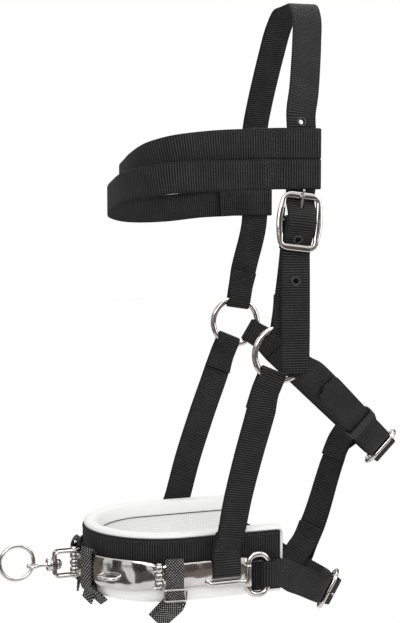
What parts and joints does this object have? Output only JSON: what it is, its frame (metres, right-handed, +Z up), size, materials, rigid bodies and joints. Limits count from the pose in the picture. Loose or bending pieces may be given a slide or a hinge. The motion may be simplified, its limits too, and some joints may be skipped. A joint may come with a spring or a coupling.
{
  "type": "lunging cavesson",
  "caption": "Webbing headstall with a padded noseband, hinged metal nose plates and a front swivel ring for a lunge line.",
  "frame": {"origin": "the flat underside of the crownpiece at the poll, where it rests on the horse's head", "axes": "+Z up, -X towards the nose and the lunge line's ring, -Y the near (left) side"},
  "size_m": [0.3602, 0.2084, 0.5332],
  "materials": {
    "webbing": "ribbed black webbing",
    "braided_tape": "coarse black braid",
    "padding": "white padded cloth",
    "nickel": "bright nickel plate"
  },
  "bodies": {
    "headstall": {"browband_lower_row": "webbing", "browband_upper_row": "webbing", "centre_hinge_pin": "nickel", "chin_buckle_frame": "nickel", "crown_buckle_frame": "nickel", "crownpiece": "webbing", "far_cheek_strap": "webbing", "far_chin_strap": "webbing", "far_front_plate": "nickel", "far_front_tie_tape": "braided_tape", "far_hinge_pin": "nickel", "far_rein_loop": "nickel", "far_side_tie_tape": "braided_tape", "far_tape_slide": "nickel", "far_throat_strap": "webbing", "jaw_strap": "webbing", "near_cheek_strap": "webbing", "near_chin_strap": "webbing", "near_crown_buckle_strap": "webbing", "near_front_plate": "nickel", "near_front_tie_tape": "braided_tape", "near_hinge_pin": "nickel", "near_rein_loop": "nickel", "near_side_tie_tape": "braided_tape", "near_tape_slide": "nickel", "near_throat_strap": "webbing", "nose_pad": "padding", "nose_webbing": "webbing", "throat_buckle_frame": "nickel", "throat_keeper": "webbing"},
    "swivel_bracket": {"swivel_bracket": "nickel"},
    "swivel_shank": {"swivel_shank": "nickel"},
    "lead_ring": {"lead_ring": "nickel"},
    "near_cheek_plate": {"near_cheek_plate": "nickel"},
    "far_cheek_plate": {"far_cheek_plate": "nickel"},
    "near_cheek_ring": {"near_cheek_ring": "nickel"},
    "far_cheek_ring": {"far_cheek_ring": "nickel"},
    "crown_buckle_tongue": {"crown_buckle_tongue": "nickel"},
    "throat_buckle_tongue": {"throat_buckle_tongue": "nickel"},
    "chin_buckle_tongue": {"chin_buckle_tongue": "nickel"}
  },
  "joints": [
    {"name": "bracket_swing", "type": "hinge", "parent": "headstall", "child": "swivel_bracket", "pos_m": [-0.19947, -0.0122, -0.473], "axis": [0, 0, 1], "range_deg": [-55, 55]},
    {"name": "swivel_spin", "type": "hinge", "parent": "swivel_bracket", "child": "swivel_shank", "pos_m": [-0.2164, -0.01368, -0.473], "axis": [-0.9962, -0.0872, 0], "continuous": true},
    {"name": "lead_ring_swing", "type": "hinge", "parent": "swivel_shank", "child": "lead_ring", "pos_m": [-0.23513, -0.01532, -0.473], "axis": [0, 0, 1], "range_deg": [-85, 85]},
    {"name": "near_plate_hinge", "type": "hinge", "parent": "headstall", "child": "near_cheek_plate", "pos_m": [-0.13981, -0.07459, -0.473], "axis": [0, 0, 1], "range_deg": [-15, 0], "stiffness_Nm_per_rad": 0.5, "deforming": ["near_cheek_strap", "near_chin_strap", "near_side_tie_tape", "near_tape_slide"]},
    {"name": "far_plate_hinge", "type": "hinge", "parent": "headstall", "child": "far_cheek_plate", "pos_m": [-0.15155, 0.0596, -0.473], "axis": [0, 0, 1], "range_deg": [0, 15], "stiffness_Nm_per_rad": 0.5, "deforming": ["far_cheek_strap", "far_chin_strap", "far_side_tie_tape", "far_tape_slide"]},
    {"name": "near_ring_spin", "type": "hinge", "parent": "headstall", "child": "near_cheek_ring", "pos_m": [-0.043, -0.095, -0.29], "axis": [0, 1, 0], "continuous": true},
    {"name": "far_ring_spin", "type": "hinge", "parent": "headstall", "child": "far_cheek_ring", "pos_m": [-0.025, 0.095, -0.281], "axis": [0, 1, 0], "continuous": true},
    {"name": "crown_tongue_play", "type": "hinge", "parent": "headstall", "child": "crown_buckle_tongue", "pos_m": [-0.02911, -0.1009, -0.1822], "axis": [0.9933, 0, -0.1157], "range_deg": [0, 4]},
    {"name": "throat_tongue_play", "type": "hinge", "parent": "headstall", "child": "throat_buckle_tongue", "pos_m": [0.07752, -0.01669, -0.38511], "axis": [-0.6671, 0.0858, -0.74], "range_deg": [0, 4]},
    {"name": "chin_tongue_play", "type": "hinge", "parent": "headstall", "child": "chin_buckle_tongue", "pos_m": [0.02969, -0.0146, -0.51242], "axis": [0.48, -0.0171, 0.8771], "range_deg": [0, 4]}
  ]
}
